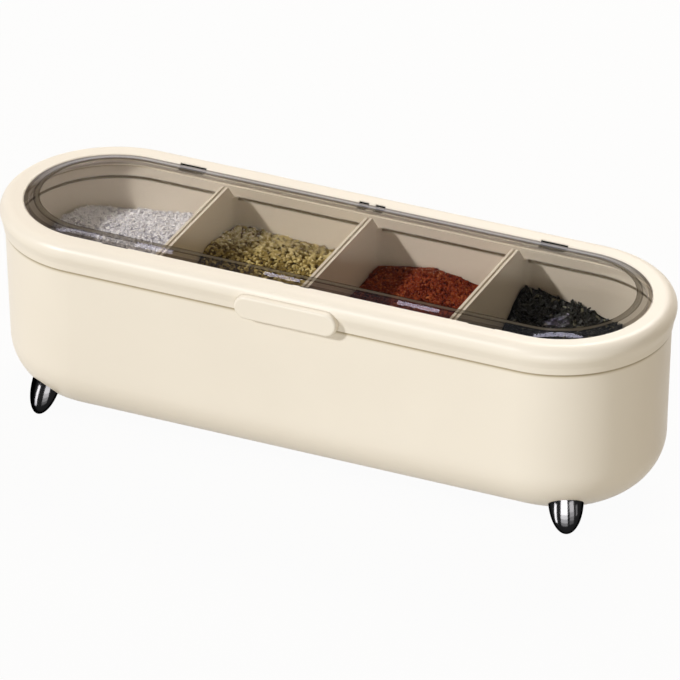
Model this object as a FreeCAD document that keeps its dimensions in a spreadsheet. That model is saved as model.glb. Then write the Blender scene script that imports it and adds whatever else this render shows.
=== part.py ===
"""Spice box: four lift-out cups in a round-ended shell, under a hinged lid with a clear window.

Millimetres, +Z up.  The length runs along X, the front is -Y, the floor is Z = 0 and the
origin is the middle of the plan.  Every size is a cell of the sheet Sizes.
"""
import FreeCAD, Part
import Sketcher
import os

SIZES = [
    # Shell
    ("end_spread", 217.6, "between the centres of the two round ends"),
    ("base_lift", 4.3, "floor to the underside of the shell"),
    ("shell_height", 78.1, "underside of the shell to its rim"),
    ("shell_radius", 49.0, "outer radius of the shell at the rim"),
    ("shell_draft", 1.25, "how much smaller that radius is at the base"),
    ("shell_round", 25.5, "radius of the rounded bottom edge"),
    ("shell_wall", 2.4, "wall of the shell"),
    ("rim_width", 1.5, "land of the rim under the lid"),
    ("ledge_drop", 1.1, "rim down to the ledge that carries the cups"),
    ("ledge_reach", 1.9, "width of that ledge"),
    ("ledge_depth", 2.2, "height of the rib under the ledge"),
    # Cups and what is in them
    ("cup_pitch", 71.2, "spacing of the three dividers"),
    ("cup_gap", 1.0, "gap between neighbouring cups"),
    ("cup_clearance", 0.4, "cup wall to ledge"),
    ("cup_wall", 1.2, "wall of a cup"),
    ("cup_corner", 5.0, "upright corner radius of a cup"),
    ("cup_bottom_round", 8.0, "radius of a cup's bottom edge"),
    ("cup_lift", 18.9, "underside of a cup above the floor of the shell"),
    ("flange_thick", 1.8, "thickness of a cup's hanging flange"),
    ("flange_gap", 0.3, "flange edge to shell rim"),
    ("divider_rise", 7.6, "divider top above the cup rim"),
    ("divider_inset", 1.0, "end of a divider inside the cup wall"),
    ("divider_ramp", 6.0, "run of the ramp at each end of a divider"),
    ("fill_gap", 0.2, "spice to cup wall"),
    ("fill_headroom", 18.5, "rim of a cup down to the crest of the spice"),
    ("salt_end_run", 15.0, "slope of the salt along the box, towards the round end"),
    ("salt_end_drop", 7.0, "fall of that slope"),
    ("salt_crest", 46.0, "back wall to the slope of the salt towards the front"),
    ("salt_front_run", 36.0, "length of that slope"),
    ("salt_front_drop", 4.0, "fall of that slope"),
    ("herb_inner_run", 16.0, "slope of the herb towards the middle of the box"),
    ("herb_inner_drop", 2.0, "fall of that slope"),
    ("herb_crest", 46.0, "back wall to the slope of the herb towards the front"),
    ("herb_front_run", 36.0, "length of that slope"),
    ("herb_front_drop", 3.0, "fall of that slope"),
    ("chili_end_run", 21.0, "slope of the chili away from the middle of the box"),
    ("chili_end_drop", 3.6, "fall of that slope"),
    ("chili_inner_run", 9.0, "slope of the chili towards the middle of the box"),
    ("chili_inner_drop", 1.4, "fall of that slope"),
    ("chili_crest", 46.0, "back wall to the slope of the chili towards the front"),
    ("chili_front_run", 36.0, "length of that slope"),
    ("chili_front_drop", 3.0, "fall of that slope"),
    ("pepper_end_run", 52.0, "slope of the pepper along the box, towards the round end"),
    ("pepper_end_drop", 8.6, "fall of that slope"),
    ("pepper_crest", 12.4, "back wall to the slope of the pepper towards the front"),
    ("pepper_front_run", 16.0, "length of that slope"),
    ("pepper_front_drop", 6.0, "fall of that slope"),
    # Lid frame
    ("seam_gap", 0.3, "shell rim to lid"),
    ("lid_step", 0.6, "lower edge of the lid beyond the shell"),
    ("lid_band", 3.2, "height of the band along the lower edge"),
    ("lid_band_lean", 0.5, "how far the band leans out"),
    ("lid_overhang", 2.2, "widest line of the lid beyond the shell"),
    ("lid_flank", 7.7, "lower edge of the lid to its widest line"),
    ("lid_flank_angle", 16.0, "degrees that the flank under the widest line leans"),
    ("lid_round", 5.4, "radius of the rounded top edge"),
    ("lid_wall", 2.2, "wall of the lid's skirt"),
    ("frame_thick", 2.0, "thickness of the lid's top round the window"),
    ("frame_border", 10.7, "widest line of the lid to the window opening"),
    ("opening_edge", 0.8, "rounding of the opening's upper edge"),
    ("rib_wall", 1.5, "rib that locates the window and carries the seal"),
    ("rib_inset", 1.9, "that rib inside the edge of the cups' ledge"),
    # Window and seal
    ("window_gap", 0.3, "window to lid frame"),
    ("window_thick", 2.0, "thickness of the window"),
    ("window_sink", 0.4, "window edge below the lid's top"),
    ("window_bevel", 6.6, "width of the sloping border"),
    ("window_rise", 1.6, "height of the sloping border"),
    ("long_tab", 12.6, "length of an outer snap tab"),
    ("short_tab", 4.4, "length of a middle snap tab"),
    ("long_tab_place", 88.5, "middle of an outer tab from the middle of the lid"),
    ("short_tab_place", 4.0, "middle of a middle tab from the middle of the lid"),
    ("tab_thick", 0.8, "thickness of a snap tab"),
    ("tab_gap", 0.2, "tab to slot"),
    ("seal_clearance", 0.2, "seal to cup rim"),
    ("seal_depth", 2.7, "seal below the rib"),
    ("seal_lip", 0.8, "thickness of the seal beside the rib"),
    ("seal_grip", 2.0, "height of the seal beside the rib"),
    # Lid handle
    ("handle_width", 49.4, "length of the handle"),
    ("handle_height", 11.4, "height of the handle"),
    ("handle_reach", 3.0, "handle face beyond the widest line of the lid"),
    ("handle_seat", 1.8, "seat of the handle inside the widest line"),
    ("handle_lift", 3.7, "lower edge of the lid to the middle of the handle"),
    ("handle_edge", 1.3, "rounding of the handle's face"),
    ("handle_screw_pitch", 30.0, "between the two handle screws"),
    ("handle_screw_rise", 3.5, "screws above the middle of the handle"),
    ("handle_screw_bore", 2.0, "diameter of a handle screw"),
    ("handle_screw_head", 3.6, "diameter of its head"),
    ("handle_screw_head_thick", 1.3, "height of its head"),
    ("handle_screw_bite", 3.4, "screw in the handle"),
    ("handle_block", 44.0, "length of the block behind the handle"),
    # Hinges
    ("hinge_spread", 121.0, "between the two hinges"),
    ("knuckle_radius", 2.35, "outer radius of a knuckle"),
    ("knuckle_clearance", 0.3, "shell knuckle to lid"),
    ("hinge_drop", 1.2, "hinge axis below the widest line of the lid"),
    ("lid_knuckle", 10.0, "width of the lid's knuckle"),
    ("shell_knuckle", 5.5, "width of a shell knuckle"),
    ("knuckle_gap", 0.25, "between knuckles"),
    ("arm_height", 11.6, "straight part of a hinge arm below the axis"),
    ("arm_gusset", 10.0, "height of the sloping foot of a hinge arm"),
    ("arm_bury", 0.8, "hinge arm in the shell's wall"),
    ("pin_diameter", 2.0, "hinge pin"),
    ("pin_fit", 0.02, "pin to shell knuckle"),
    ("pin_run", 0.05, "pin to lid knuckle"),
    ("pin_recess", 0.3, "pin end inside the outer knuckle"),
    # Feet
    ("foot_inset", 2.3, "tip of a foot inside the side of the shell"),
    ("foot_angle", 62.6, "degrees round the end from the length of the box"),
    ("foot_tilt", 22.9, "degrees that a foot splays"),
    ("foot_sink", 0.15, "trim at the tip, so that the foot stands on a flat"),
    ("foot_length", 15.7, "tip of a foot to its widest part, in the shell's round"),
    ("foot_half_width", 7.9, "half its width there, along the side of the shell"),
    ("foot_half_depth", 5.05, "half its depth there, across the side of the shell"),
    ("boss_radius", 4.6, "boss in the shell above a foot"),
    ("boss_top", 17.6, "tip of a foot to the seat of its screw"),
    ("foot_screw_bore", 3.0, "diameter of a foot screw"),
    ("foot_screw_head", 5.6, "diameter of its head"),
    ("foot_screw_head_thick", 2.0, "height of its head"),
    ("foot_screw_end", 5.4, "tip of a foot to the end of its screw"),
    ("screw_clearance", 0.05, "screw to hole, all round"),
]

doc = FreeCAD.newDocument("SpiceBox")
sheet = doc.addObject("Spreadsheet::Sheet", "Sizes")
for row, (alias, size, note) in enumerate(SIZES, start=1):
    sheet.set("A%d" % row, alias)
    sheet.set("B%d" % row, str(size))
    sheet.set("C%d" % row, note)
    sheet.setAlias("B%d" % row, alias)
doc.recompute()


def cell(alias):
    return "Sizes." + alias


def total(*terms):
    """Expression for a sum; a term that starts with a minus sign is taken off."""
    text = ""
    for term in terms:
        name = term.lstrip("-")
        value = name if "." in name or "(" in name else cell(name)
        text += (" - " if term.startswith("-") else " + ") + value
    return "(" + text.lstrip(" +") + ")"


def less(term):
    return "-" + term


def half(term):
    return "(%s / 2)" % (term if "." in term else cell(term))


def double(term):
    return "(2 * %s)" % (term if "." in term else cell(term))


def number(expression):
    """Value of an expression, for the first guess of a sketch."""
    return float(sheet.evalExpression(expression))


# Levels and radii that several pieces share, worked out from the sheet
END = half("end_spread")
SEAM_Z = total("base_lift", "shell_height")
LEDGE_Z = total(SEAM_Z, "-ledge_drop")
RIM_Z = total(LEDGE_Z, "flange_thick")
CUP_BASE_Z = total("base_lift", "shell_wall", "cup_lift")
CUP_FLOOR_Z = total(CUP_BASE_Z, "cup_wall")
CUP_DEPTH = total(RIM_Z, less(CUP_BASE_Z))
FILL_Z = total(RIM_Z, "-fill_headroom")
LOW_RADIUS = total("shell_radius", "-shell_draft")
RECESS_RADIUS = total("shell_radius", "-rim_width")
LEDGE_RADIUS = total(RECESS_RADIUS, "-ledge_reach")
CUP_RADIUS = total(LEDGE_RADIUS, "-cup_clearance")
CUP_INNER_RADIUS = total(CUP_RADIUS, "-cup_wall")
FLANGE_RADIUS = total(RECESS_RADIUS, "-flange_gap")
LID_Z = total(SEAM_Z, "seam_gap")
LID_RADIUS = total("shell_radius", "lid_overhang")
WIDEST_Z = total(LID_Z, "lid_flank")
LID_TOP_Z = total(WIDEST_Z, "lid_round")
FRAME_UNDER_Z = total(LID_TOP_Z, "-frame_thick")
RIB_OUT_RADIUS = total(RECESS_RADIUS, "-rib_inset")
RIB_RADIUS = total(RIB_OUT_RADIUS, "-rib_wall")
RIB_Z = total(RIM_Z, "seal_clearance", "seal_depth")
OPENING_RADIUS = total(LID_RADIUS, "-frame_border")
WINDOW_RADIUS = total(OPENING_RADIUS, "-window_gap")
FOOT_PLACE = total(LOW_RADIUS, "-foot_inset")
HINGE_Y = total(LID_RADIUS, "knuckle_clearance", "knuckle_radius")
HINGE_Z = total(WIDEST_Z, "-hinge_drop")
HANDLE_Z = total(LID_Z, "handle_lift")
SEAT_Y = total(LID_RADIUS, "-handle_seat")


def mirrored(points):
    """The same outline on the other side of the vertical axis."""
    flipped = []
    for x, y, *curve in points:
        other = x if x == "0" else "(-1 * %s)" % x
        flipped.append((other, y) + tuple((radius, -turn) for radius, turn in curve))
    return flipped


def whole_section(points):
    """Both halves of an outline whose first and last points lie on the axis, as one loop."""
    right = points[1:-1]
    left = mirrored(right)
    back = []
    for index in range(len(left) - 1, -1, -1):
        x, y = left[index][:2]
        curve = left[index - 1][2:] if index > 0 else ()
        back.append((x, y) + tuple((radius, -turn) for radius, turn in curve))
    return right + back


def draw(sketch, points):
    """Add one closed loop.  A point is (x, y), or (x, y, (radius, turn)) where an arc follows it."""
    spots = [FreeCAD.Vector(number(x), number(y), 0) for x, y, *_ in points]
    ends = []
    for index, (x, y, *curve) in enumerate(points):
        start = spots[index]
        stop = spots[(index + 1) % len(points)]
        if not curve:
            edge = sketch.addGeometry(Part.LineSegment(start, stop))
            ends.append((edge, 1, 2))
            continue
        radius, turn = curve[0]
        size = number(radius)
        chord = stop - start
        side = FreeCAD.Vector(-chord.y, chord.x, 0).normalize() * turn
        reach = max(size ** 2 - (chord.Length / 2) ** 2, 0) ** 0.5
        middle = (start + stop) * 0.5 + side * (reach - size)
        edge = sketch.addGeometry(Part.Arc(start, middle, stop))
        first = sketch.getPoint(edge, 1)
        ends.append((edge, 1, 2) if (first - start).Length < (first - stop).Length else (edge, 2, 1))
        constrain(sketch, ("Radius", edge), size, radius)
    for index, (x, y, *curve) in enumerate(points):
        edge, head, tail = ends[index]
        before, _, end = ends[index - 1]
        sketch.addConstraint(Sketcher.Constraint("Coincident", before, end, edge, head))
        for kind, axis, expression in (("DistanceX", -2, x), ("DistanceY", -1, y)):
            if expression == "0":
                sketch.addConstraint(Sketcher.Constraint("PointOnObject", edge, head, axis))
            else:
                constrain(sketch, (kind, -1, 1, edge, head), number(expression), expression)


def constrain(sketch, parts, value, expression):
    index = sketch.addConstraint(Sketcher.Constraint(*parts, value))
    sketch.setExpression("Constraints[%d]" % index, expression)


def add_body(name):
    return doc.addObject("PartDesign::Body", name)


def origin_plane(body, role):
    return [feature for feature in body.Origin.OriginFeatures if feature.Role == role][0]


def add_sketch(body, name, plane, move=("0", "0", "0"), turn="0"):
    """Sketch on an origin plane of its body, moved and turned within that plane."""
    sketch = body.newObject("Sketcher::SketchObject", name)
    sketch.AttachmentSupport = [(origin_plane(body, plane), "")]
    sketch.MapMode = "FlatFace"
    sketch.AttachmentOffset = FreeCAD.Placement(
        FreeCAD.Vector(0, 0, 0), FreeCAD.Rotation(FreeCAD.Vector(0, 0, 1), number(turn)))
    for axis, expression in zip("xyz", move):
        if expression != "0":
            sketch.setExpression("AttachmentOffset.Base." + axis, expression)
    if turn != "0":
        sketch.setExpression("AttachmentOffset.Rotation.Angle", turn)
    return sketch


def add_pad(body, name, sketch, length, both_ways=False):
    pad = body.newObject("PartDesign::Pad", name)
    pad.Profile = sketch
    pad.SideType = "Symmetric" if both_ways else "One side"
    pad.setExpression("Length", length)
    doc.recompute()
    return pad


def add_turn(body, name, sketch, angle, kind="Revolution"):
    """Turn a sketch about its own vertical axis, as much to one side as to the other."""
    feature = body.newObject("PartDesign::" + kind, name)
    feature.Profile = sketch
    feature.ReferenceAxis = (sketch, ["V_Axis"])
    feature.Midplane = True
    feature.Angle = angle
    doc.recompute()
    return feature


def stadium(name, outline):
    """A section run along both straight sides and turned round both ends."""
    body = add_body(name)
    side = add_sketch(body, name + "_side", "YZ_Plane")
    if outline[0][0] == "0":
        draw(side, whole_section(outline))
    else:
        body.AllowCompound = True
        draw(side, outline)
        draw(side, mirrored(outline))
    add_pad(body, name + "_sides", side, cell("end_spread"), both_ways=True)
    end = add_sketch(body, name + "_end", "XZ_Plane", move=(END, "0", "0"))
    draw(end, outline)
    turn = add_turn(body, name + "_right", end, 180)
    other = body.newObject("PartDesign::Mirrored", name + "_left")
    other.Originals = [turn]
    other.MirrorPlane = (origin_plane(body, "YZ_Plane"), [""])
    body.Tip = other
    doc.recompute()
    return body


def plate(name, outline, start, width):
    """An outline in the YZ plane, padded along +X from start."""
    body = add_body(name)
    sketch = add_sketch(body, name + "_outline", "YZ_Plane", move=("0", "0", start))
    draw(sketch, outline)
    add_pad(body, name + "_pad", sketch, width)
    return body


def rod(name, radius, length, base, axis):
    """Cylinder that starts at base and runs along +X or -Y."""
    cylinder = doc.addObject("Part::Cylinder", name)
    turns = {"+X": FreeCAD.Rotation(FreeCAD.Vector(0, 1, 0), 90),
             "-Y": FreeCAD.Rotation(FreeCAD.Vector(1, 0, 0), 90)}
    cylinder.Placement = FreeCAD.Placement(FreeCAD.Vector(0, 0, 0), turns[axis])
    cylinder.setExpression("Radius", radius)
    cylinder.setExpression("Height", length)
    for letter, expression in zip("xyz", base):
        if expression != "0":
            cylinder.setExpression("Placement.Base." + letter, expression)
    return cylinder


def block(name, low, size):
    box = doc.addObject("Part::Box", name)
    for letter, side, start, length in zip("xyz", ("Length", "Width", "Height"), low, size):
        box.setExpression(side, length)
        if start != "0":
            box.setExpression("Placement.Base." + letter, start)
    return box


def fuse(name, pieces):
    joined = doc.addObject("Part::MultiFuse", name)
    joined.Shapes = pieces
    joined.Refine = True
    return joined


def cut(name, base, tools):
    result = doc.addObject("Part::Cut", name)
    result.Base = base
    result.Tool = tools[0] if len(tools) == 1 else fuse(name + "_tools", tools)
    result.Refine = True
    return result


def group(name, pieces):
    together = doc.addObject("Part::Compound", name)
    together.Links = pieces
    return together


# Shell outline, shared by the shell itself and by the feet that seat against it
SHELL_OUTLINE = [
    ("0", cell("base_lift")),
    (total(LOW_RADIUS, "-shell_round"), cell("base_lift"), (cell("shell_round"), 1)),
    (LOW_RADIUS, total("base_lift", "shell_round")),
    (cell("shell_radius"), SEAM_Z),
    ("0", SEAM_Z),
]


def foot_axis_sketch(body, name):
    """Sketch whose vertical axis is the splayed axis of a foot, with its origin at the tip."""
    return add_sketch(body, name, "XZ_Plane", move=(FOOT_PLACE, less(cell("foot_sink")), "0"),
                      turn=cell("foot_tilt"))


def put_at_corner(body, side, front):
    """Move a piece from beside the middle of the box to one of the four foot corners."""
    sign = "" if side > 0 else "-1 * "
    body.setExpression("Placement.Base.x", sign + END)
    angle = cell("foot_angle")
    heading = {(1, 1): "-1 * " + angle, (1, -1): angle,
               (-1, 1): "180 + " + angle, (-1, -1): "180 - " + angle}[(side, front)]
    body.Placement.Rotation = FreeCAD.Rotation(FreeCAD.Vector(0, 0, 1), number(heading))
    body.setExpression("Placement.Rotation.Angle", heading)
    return body


def turned_on_foot_axis(name, outline, side, front):
    body = add_body(name)
    sketch = foot_axis_sketch(body, name + "_outline")
    draw(sketch, outline)
    add_turn(body, name + "_turn", sketch, 360)
    return put_at_corner(body, side, front)


def bar(radius, start, stop):
    """Outline of a plain cylinder on a foot's axis."""
    return [("0", start), (radius, start), (radius, stop), ("0", stop)]


FOOT_HOLE = total(half("foot_screw_bore"), "screw_clearance")


def foot(name, side, front):
    """Flattened bullet of a foot, hollowed to the shell's round and trimmed flat at the tip."""
    body = add_body(name)
    bullet = body.newObject("PartDesign::AdditiveEllipsoid", name + "_bullet")
    bullet.AttachmentSupport = [(origin_plane(body, "XZ_Plane"), "")]
    bullet.MapMode = "FlatFace"
    bullet.AttachmentOffset = FreeCAD.Placement(
        FreeCAD.Vector(0, 0, 0), FreeCAD.Rotation(FreeCAD.Vector(0, 0, 1), number(cell("foot_tilt"))))
    long_half = cell("foot_length")
    tilt = cell("foot_tilt")
    middle_x = "(%s - %s * sin(%s))" % (FOOT_PLACE, long_half, tilt)
    middle_z = "(%s * cos(%s) - %s)" % (long_half, tilt, cell("foot_sink"))
    for place, expression in (("AttachmentOffset.Base.x", middle_x), ("AttachmentOffset.Base.y", middle_z),
                              ("AttachmentOffset.Rotation.Angle", tilt),
                              ("Radius1", cell("foot_half_width")), ("Radius2", cell("foot_half_depth")),
                              ("Radius3", long_half)):
        bullet.setExpression(place, expression)
    doc.recompute()
    seat = add_sketch(body, name + "_seat", "XZ_Plane")
    draw(seat, SHELL_OUTLINE)
    near = total(FOOT_PLACE, "-foot_half_width")
    far = total(FOOT_PLACE, "foot_half_width")
    under = less(cell("foot_half_width"))
    draw(seat, [(near, "0"), (far, "0"), (far, under), (near, under)])
    add_turn(body, name + "_trim", seat, 360, "Groove")
    hole = foot_axis_sketch(body, name + "_hole")
    draw(hole, bar(FOOT_HOLE, cell("foot_screw_end"), cell("boss_top")))
    add_turn(body, name + "_bore", hole, 360, "Groove")
    return put_at_corner(body, side, front)


def foot_screw(name, side, front):
    shank = half("foot_screw_bore")
    head = half("foot_screw_head")
    seat = cell("boss_top")
    crown = total("boss_top", "foot_screw_head_thick")
    end = total("foot_screw_end", "screw_clearance")
    outline = [("0", end), (shank, end), (shank, seat), (head, seat), (head, crown), ("0", crown)]
    return turned_on_foot_axis(name, outline, side, front)


CORNERS = [("front_right", 1, 1), ("front_left", -1, 1), ("back_right", 1, -1), ("back_left", -1, -1)]
parts = {}

for corner, side, front in CORNERS:
    parts["foot_" + corner] = foot("foot_" + corner, side, front)
parts["foot_screws"] = group("foot_screws", [foot_screw("foot_screw_" + corner, side, front)
                                             for corner, side, front in CORNERS])

# Hinges: outline of a knuckle's round end, from its lowest point over the back to its top
HINGE_OUT_Y = total(HINGE_Y, "knuckle_radius")
ARM_LOW_Z = total(HINGE_Z, "-arm_height")
ARM_IN_Y = total("shell_radius", "-arm_bury")
ARM_FRONT_Y = total(LID_RADIUS, "knuckle_clearance")
KNUCKLE_TOP_Z = total(HINGE_Z, "knuckle_radius")
KNUCKLE_LOW_Z = total(HINGE_Z, "-knuckle_radius")
BARREL = cell("knuckle_radius")
ARM_SHOULDER_Z = total(SEAM_Z, "-seam_gap")
ARM_OUTLINE = [
    (HINGE_OUT_Y, ARM_LOW_Z),
    (HINGE_OUT_Y, HINGE_Z, (BARREL, 1)),
    (HINGE_Y, KNUCKLE_TOP_Z, (BARREL, 1)),
    (ARM_FRONT_Y, HINGE_Z),
    (ARM_FRONT_Y, ARM_SHOULDER_Z),
    (ARM_IN_Y, ARM_SHOULDER_Z),
    (ARM_IN_Y, total(ARM_LOW_Z, "-arm_gusset")),
]
WEB_Y = total(LID_RADIUS, less(half("lid_wall")), less(half("lid_band_lean")))
LID_KNUCKLE_OUTLINE = [
    (WEB_Y, KNUCKLE_LOW_Z),
    (HINGE_Y, KNUCKLE_LOW_Z, (BARREL, 1)),
    (HINGE_OUT_Y, HINGE_Z, (BARREL, 1)),
    (HINGE_Y, KNUCKLE_TOP_Z),
    (WEB_Y, total(KNUCKLE_TOP_Z, less(half("knuckle_radius")))),
]
HINGE_MIDDLES = {"right": half("hinge_spread"), "left": "(-1 * %s)" % half("hinge_spread")}
ARM_START = total(half("lid_knuckle"), "knuckle_gap")
HINGE_HALF = total(ARM_START, "shell_knuckle")

arms = []
shell_bores = []
lid_knuckles = []
lid_bores = []
for side, middle in HINGE_MIDDLES.items():
    arms.append(plate("arm_right_of_%s_hinge" % side, ARM_OUTLINE,
                      total(middle, ARM_START), cell("shell_knuckle")))
    arms.append(plate("arm_left_of_%s_hinge" % side, ARM_OUTLINE,
                      total(middle, less(HINGE_HALF)), cell("shell_knuckle")))
    lid_knuckles.append(plate("lid_knuckle_" + side, LID_KNUCKLE_OUTLINE,
                              total(middle, less(half("lid_knuckle"))), cell("lid_knuckle")))
    start = (total(middle, less(HINGE_HALF)), HINGE_Y, HINGE_Z)
    shell_bores.append(rod("shell_bore_" + side, total(half("pin_diameter"), "pin_fit"), double(HINGE_HALF),
                           start, "+X"))
    lid_bores.append(rod("lid_bore_" + side, total(half("pin_diameter"), "pin_run"), double(HINGE_HALF),
                         start, "+X"))
    pin_start = (total(middle, less(HINGE_HALF), "pin_recess"), HINGE_Y, HINGE_Z)
    name = "hinge_pin_" + side
    parts[name] = rod(name, half("pin_diameter"), total(double(HINGE_HALF), less(double("pin_recess"))),
                      pin_start, "+X")

# Shell: a filled form less its cavity, with a boss over each foot and the hinge arms
shell_form = stadium("shell_form", SHELL_OUTLINE)
RIB_FOOT_Z = total(LEDGE_Z, "-ledge_depth")
INNER_TOP = total("shell_radius", "-shell_wall")
shell_cavity = stadium("shell_cavity", [
    ("0", total("base_lift", "shell_wall")),
    (total(LOW_RADIUS, "-shell_round"), total("base_lift", "shell_wall"),
     (total("shell_round", "-shell_wall"), 1)),
    (total(LOW_RADIUS, "-shell_wall"), total("base_lift", "shell_round")),
    (INNER_TOP, total(RIB_FOOT_Z, less(INNER_TOP), LEDGE_RADIUS)),
    (LEDGE_RADIUS, RIB_FOOT_Z),
    (LEDGE_RADIUS, LEDGE_Z),
    (RECESS_RADIUS, LEDGE_Z),
    (RECESS_RADIUS, SEAM_Z),
    ("0", SEAM_Z),
])
bosses = []
boss_bores = []
for corner, side, front in CORNERS:
    bosses.append(turned_on_foot_axis("boss_" + corner, bar(cell("boss_radius"), cell("foot_screw_end"),
                                                            cell("boss_top")), side, front))
    boss_bores.append(turned_on_foot_axis("boss_bore_" + corner,
                                          bar(FOOT_HOLE, cell("foot_screw_end"),
                                              total("boss_top", "foot_screw_head_thick")), side, front))
boss_trim = doc.addObject("Part::Common", "boss_trim")
boss_trim.Base = fuse("boss_set", bosses)
boss_trim.Tool = shell_form
shell_wall = cut("shell_wall", shell_form, [shell_cavity])
parts["shell"] = cut("shell", fuse("shell_solid", [shell_wall, boss_trim] + arms), boss_bores + shell_bores)

# Cups: plan outlines run round the cup, moved in by inset and out to radius at the long sides
PITCH = cell("cup_pitch")
HALF_GAP = half("cup_gap")


def middle_plan(inset, radius, corner):
    low = total(HALF_GAP, inset)
    high = total(PITCH, less(HALF_GAP), less(inset))
    back = radius
    front = "(-1 * %s)" % radius
    bend = (corner, 1)
    return [
        (total(low, corner), front), (total(high, less(corner)), front, bend),
        (high, total(front, corner)), (high, total(back, less(corner)), bend),
        (total(high, less(corner)), back), (total(low, corner), back, bend),
        (low, total(back, less(corner))), (low, total(front, corner), bend),
    ]


def end_plan(inset, radius, corner):
    low = total(PITCH, HALF_GAP, inset)
    back = radius
    front = "(-1 * %s)" % radius
    bend = (corner, 1)
    return [
        (total(low, corner), front), (END, front, (radius, 1)),
        (total(END, radius), "0", (radius, 1)),
        (END, back), (total(low, corner), back, bend),
        (low, total(back, less(corner))), (low, total(front, corner), bend),
    ]


def tub(name, plan, low, height, rounding):
    """Filled form with a rounded bottom edge."""
    body = add_body(name)
    sketch = add_sketch(body, name + "_plan", "XY_Plane", move=("0", "0", low))
    draw(sketch, plan)
    pad = add_pad(body, name + "_pad", sketch, height)
    edges = ["Edge%d" % index for index, edge in enumerate(pad.Shape.Edges, start=1)
             if all(abs(vertex.Z - number(low)) < 1e-6 for vertex in edge.Vertexes)]
    rounded = body.newObject("PartDesign::Fillet", name + "_bottom")
    rounded.Base = (pad, edges)
    rounded.setExpression("Radius", rounding)
    doc.recompute()
    return body


NO_INSET = total("cup_gap", "-cup_gap")
DIVIDER_FOOT = total(CUP_INNER_RADIUS, "-divider_inset")
DIVIDER_HEAD = total(DIVIDER_FOOT, "-divider_ramp")
DIVIDER_LOW_Z = total(RIM_Z, "-flange_thick")
DIVIDER_TOP_Z = total(RIM_Z, "divider_rise")
DIVIDER_OUTLINE = [
    ("(-1 * %s)" % DIVIDER_FOOT, DIVIDER_LOW_Z), (DIVIDER_FOOT, DIVIDER_LOW_Z), (DIVIDER_FOOT, RIM_Z),
    (DIVIDER_HEAD, DIVIDER_TOP_Z), ("(-1 * %s)" % DIVIDER_HEAD, DIVIDER_TOP_Z),
    ("(-1 * %s)" % DIVIDER_FOOT, RIM_Z),
]


def on_side(plan, side):
    return plan if side > 0 else mirrored(plan)


def wall_start(low, side):
    """Where a divider wall starts along X, from its inner edge on the right-hand side of the box."""
    return low if side > 0 else "(-1 * %s)" % total(low, "cup_wall")


def cup(name, plan, side, walls):
    """Thin tub with a hanging flange and raised divider walls."""
    form = tub(name + "_form", on_side(plan(NO_INSET, CUP_RADIUS, cell("cup_corner")), side),
               CUP_BASE_Z, CUP_DEPTH, cell("cup_bottom_round"))
    hollow = tub(name + "_hollow", on_side(plan(cell("cup_wall"), CUP_INNER_RADIUS,
                                                total("cup_corner", "-cup_wall")), side),
                 CUP_FLOOR_Z, total(CUP_DEPTH, "-cup_wall"), total("cup_bottom_round", "-cup_wall"))
    flange = add_body(name + "_flange")
    flange_plan = add_sketch(flange, name + "_flange_plan", "XY_Plane", move=("0", "0", LEDGE_Z))
    draw(flange_plan, on_side(plan(NO_INSET, FLANGE_RADIUS, cell("cup_corner")), side))
    add_pad(flange, name + "_flange_pad", flange_plan, cell("flange_thick"))
    raised = [plate("%s_wall_%d" % (name, index), DIVIDER_OUTLINE, wall_start(low, side), cell("cup_wall"))
              for index, low in enumerate(walls, start=1)]
    return cut(name, fuse(name + "_solid", [form, flange] + raised), [hollow])


HALF_LENGTH = total(END, CUP_RADIUS)


def slope_along(name, side, crest, foot, drop):
    """Room over a slope that falls along the box, from the crest at one place to its foot at another."""
    body = add_body(name)
    sketch = add_sketch(body, name + "_side", "XZ_Plane")
    above = total(FILL_Z, drop)
    outline = [(crest, FILL_Z), (foot, total(FILL_Z, less(drop))), (foot, above), (crest, above)]
    draw(sketch, on_side(outline, side))
    add_pad(body, name + "_pad", sketch, double(CUP_RADIUS), both_ways=True)
    return body


def slope_to_front(name, side, crest, run, drop):
    """Room over a slope that falls towards the front and then runs level to the cup's wall."""
    above = total(FILL_Z, drop)
    below = total(FILL_Z, less(drop))
    foot = total(crest, less(run))
    front = "(-1 * %s)" % CUP_RADIUS
    outline = [(crest, FILL_Z), (foot, below), (front, below), (front, above), (crest, above)]
    return plate(name, outline, "0" if side > 0 else "(-1 * %s)" % HALF_LENGTH, HALF_LENGTH)


def spice(content, plan, side, inner_wall, outer_wall, falls):
    """What a cup holds, as one heap on the floor of the cup that falls from a level crest."""
    name = content + "_fill"
    inset = total("cup_wall", "fill_gap")
    outline = plan(inset, total(CUP_RADIUS, less(inset)), total("cup_corner", less(inset)))
    form = tub(name + "_form", on_side(outline, side), CUP_FLOOR_Z, total(FILL_Z, less(CUP_FLOOR_Z)),
               total("cup_bottom_round", "-cup_wall"))
    rooms = [slope_to_front(name + "_front_slope", side, total(CUP_INNER_RADIUS, less(cell(content + "_crest"))),
                            cell(content + "_front_run"), cell(content + "_front_drop"))]
    if "end" in falls:
        rooms.append(slope_along(name + "_end_slope", side,
                                 total(outer_wall, less(cell(content + "_end_run"))), outer_wall,
                                 cell(content + "_end_drop")))
    if "inner" in falls:
        rooms.append(slope_along(name + "_inner_slope", side,
                                 total(inner_wall, cell(content + "_inner_run")), inner_wall,
                                 cell(content + "_inner_drop")))
    return cut(name, form, rooms)


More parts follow.
